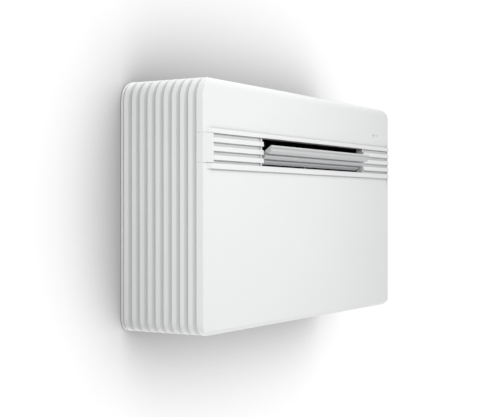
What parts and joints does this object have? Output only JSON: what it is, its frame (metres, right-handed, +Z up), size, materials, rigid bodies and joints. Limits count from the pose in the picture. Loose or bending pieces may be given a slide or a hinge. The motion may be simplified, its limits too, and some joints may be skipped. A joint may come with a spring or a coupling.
{
  "type": "wall-mounted monobloc heat pump fan convector",
  "caption": "Wall-hung white fan convector with ribbed sides, louvred front outlet with motor flap, and its own heat pump breathing through two wall ducts.",
  "frame": {"origin": "on the wall plane, at the bottom edge of the casing, middle of its width", "axes": "+X to the right as seen from the room, -Y out of the wall into the room, +Z up"},
  "size_m": [0.902, 0.2231, 0.516],
  "materials": {
    "casing_white": "satin gloss moulded ABS",
    "flap_white": "satin moulded ABS",
    "zinc_steel": "zinc-plated sheet",
    "black_plastic": "matt",
    "grey_plastic": "matt",
    "fan_plastic": "matt, glass-filled",
    "foam": "closed-cell foam",
    "fin_aluminium": "thin rolled fins",
    "copper": "drawn copper tube",
    "black_paint": "satin paint",
    "black_rubber": "matt",
    "valve_brass": "machined",
    "box_grey": "fine texture",
    "board_green": "solder mask",
    "light_plastic": "plain",
    "float_orange": "plain"
  },
  "bodies": {
    "casing": {"rear_chassis": "zinc_steel", "wall_bracket": "zinc_steel", "left_side_cover": "casing_white", "right_side_cover": "casing_white", "top_cover": "casing_white", "bottom_cover": "casing_white", "front_upper_panel": "casing_white", "outlet_band": "casing_white", "front_lower_panel": "casing_white", "outlet_post": "flap_white", "flap_motor": "zinc_steel", "vane_motor": "zinc_steel", "evaporator_fins": "fin_aluminium", "evaporator_tubes": "copper", "drip_tray": "grey_plastic", "indoor_scroll": "black_plastic", "indoor_fan_motor": "zinc_steel", "fan_end_bearing": "zinc_steel", "partition": "foam", "condenser_fins": "fin_aluminium", "condenser_tubes": "copper", "outdoor_fan_shroud": "grey_plastic", "outdoor_fan_motor": "zinc_steel", "inlet_collar": "grey_plastic", "exhaust_collar": "grey_plastic", "duct_seals": "foam", "compressor": "black_paint", "compressor_feet": "black_rubber", "compressor_bolts": "zinc_steel", "reversing_valve": "valve_brass", "expansion_valve": "valve_brass", "filter_drier": "copper", "refrigerant_pipes": "copper", "electronics_box": "box_grey", "electronics_lid": "box_grey", "main_board": "board_green", "run_capacitor": "light_plastic", "terminal_block": "light_plastic", "mains_cable": "black_rubber", "cable_gland": "black_plastic", "display_board": "board_green", "display_light_guide": "light_plastic", "condensate_pump": "grey_plastic", "drain_socket": "grey_plastic", "screws": "zinc_steel"},
    "flap": {"outlet_flap": "flap_white", "flap_sector": "black_plastic"},
    "flap_drive": {"flap_pinion": "valve_brass"},
    "fan": {"tangential_fan": "fan_plastic"},
    "outdoor_wheel": {"outdoor_fan_wheel": "fan_plastic"},
    "cassette_left": {"filter_left": "casing_white"},
    "cassette_right": {"filter_right": "casing_white"},
    "tie_bar": {"vane_tie_bar": "black_plastic"},
    "float": {"pump_float": "float_orange"},
    "vane_1": {"vane_1": "black_plastic"},
    "vane_2": {"vane_2": "black_plastic"},
    "vane_3": {"vane_3": "black_plastic"},
    "vane_4": {"vane_4": "black_plastic"},
    "vane_5": {"vane_5": "black_plastic"},
    "vane_6": {"vane_6": "black_plastic"}
  },
  "joints": [
    {"name": "flap_tilt", "type": "hinge", "parent": "casing", "child": "flap", "pos_m": [0.0325, -0.194, 0.369], "axis": [1, 0, 0], "range_deg": [-53, 32]},
    {"name": "flap_pinion_turn", "type": "hinge", "parent": "casing", "child": "flap_drive", "pos_m": [0.279, -0.164, 0.369], "axis": [1, 0, 0], "range_deg": [-95, 150]},
    {"name": "indoor_fan_spin", "type": "hinge", "parent": "casing", "child": "fan", "pos_m": [0.0325, -0.08, 0.392], "axis": [1, 0, 0], "continuous": true},
    {"name": "outdoor_fan_spin", "type": "hinge", "parent": "casing", "child": "outdoor_wheel", "pos_m": [0.1625, -0.05, 0.13], "axis": [0, 1, 0], "continuous": true},
    {"name": "cassette_left_lift", "type": "slide", "parent": "casing", "child": "cassette_left", "axis": [0, 0, 1], "range_m": [0, 0.12]},
    {"name": "cassette_right_lift", "type": "slide", "parent": "casing", "child": "cassette_right", "axis": [0, 0, 1], "range_m": [0, 0.12]},
    {"name": "vane_1_swing", "type": "hinge", "parent": "casing", "child": "vane_1", "pos_m": [-0.1775, -0.136, 0.373], "axis": [0, 0, 1], "range_deg": [-30, 30]},
    {"name": "vane_2_swing", "type": "hinge", "parent": "casing", "child": "vane_2", "pos_m": [-0.0935, -0.136, 0.373], "axis": [0, 0, 1], "range_deg": [-30, 30]},
    {"name": "vane_3_swing", "type": "hinge", "parent": "casing", "child": "vane_3", "pos_m": [-0.0095, -0.136, 0.373], "axis": [0, 0, 1], "range_deg": [-30, 30]},
    {"name": "vane_4_swing", "type": "hinge", "parent": "casing", "child": "vane_4", "pos_m": [0.0745, -0.136, 0.373], "axis": [0, 0, 1], "range_deg": [-30, 30]},
    {"name": "vane_5_swing", "type": "hinge", "parent": "casing", "child": "vane_5", "pos_m": [0.1585, -0.136, 0.373], "axis": [0, 0, 1], "range_deg": [-30, 30]},
    {"name": "vane_6_swing", "type": "hinge", "parent": "casing", "child": "vane_6", "pos_m": [0.2425, -0.136, 0.373], "axis": [0, 0, 1], "range_deg": [-30, 30]},
    {"name": "tie_bar_slide", "type": "slide", "parent": "casing", "child": "tie_bar", "axis": [1, 0, 0], "range_m": [-0.0037, 0.0037]},
    {"name": "pump_float_rise", "type": "slide", "parent": "casing", "child": "float", "axis": [0, 0, 1], "range_m": [0, 0.012]}
  ],
  "couplings": [
    {"joint": "flap_pinion_turn", "follows": "flap_tilt", "ratio": -2.75},
    {"joint": "vane_2_swing", "follows": "vane_1_swing", "ratio": 1},
    {"joint": "vane_3_swing", "follows": "vane_1_swing", "ratio": 1},
    {"joint": "vane_4_swing", "follows": "vane_1_swing", "ratio": 1},
    {"joint": "vane_5_swing", "follows": "vane_1_swing", "ratio": 1},
    {"joint": "vane_6_swing", "follows": "vane_1_swing", "ratio": 1},
    {"joint": "tie_bar_slide", "follows": "vane_1_swing", "m_per_rad": -0.006685}
  ]
}
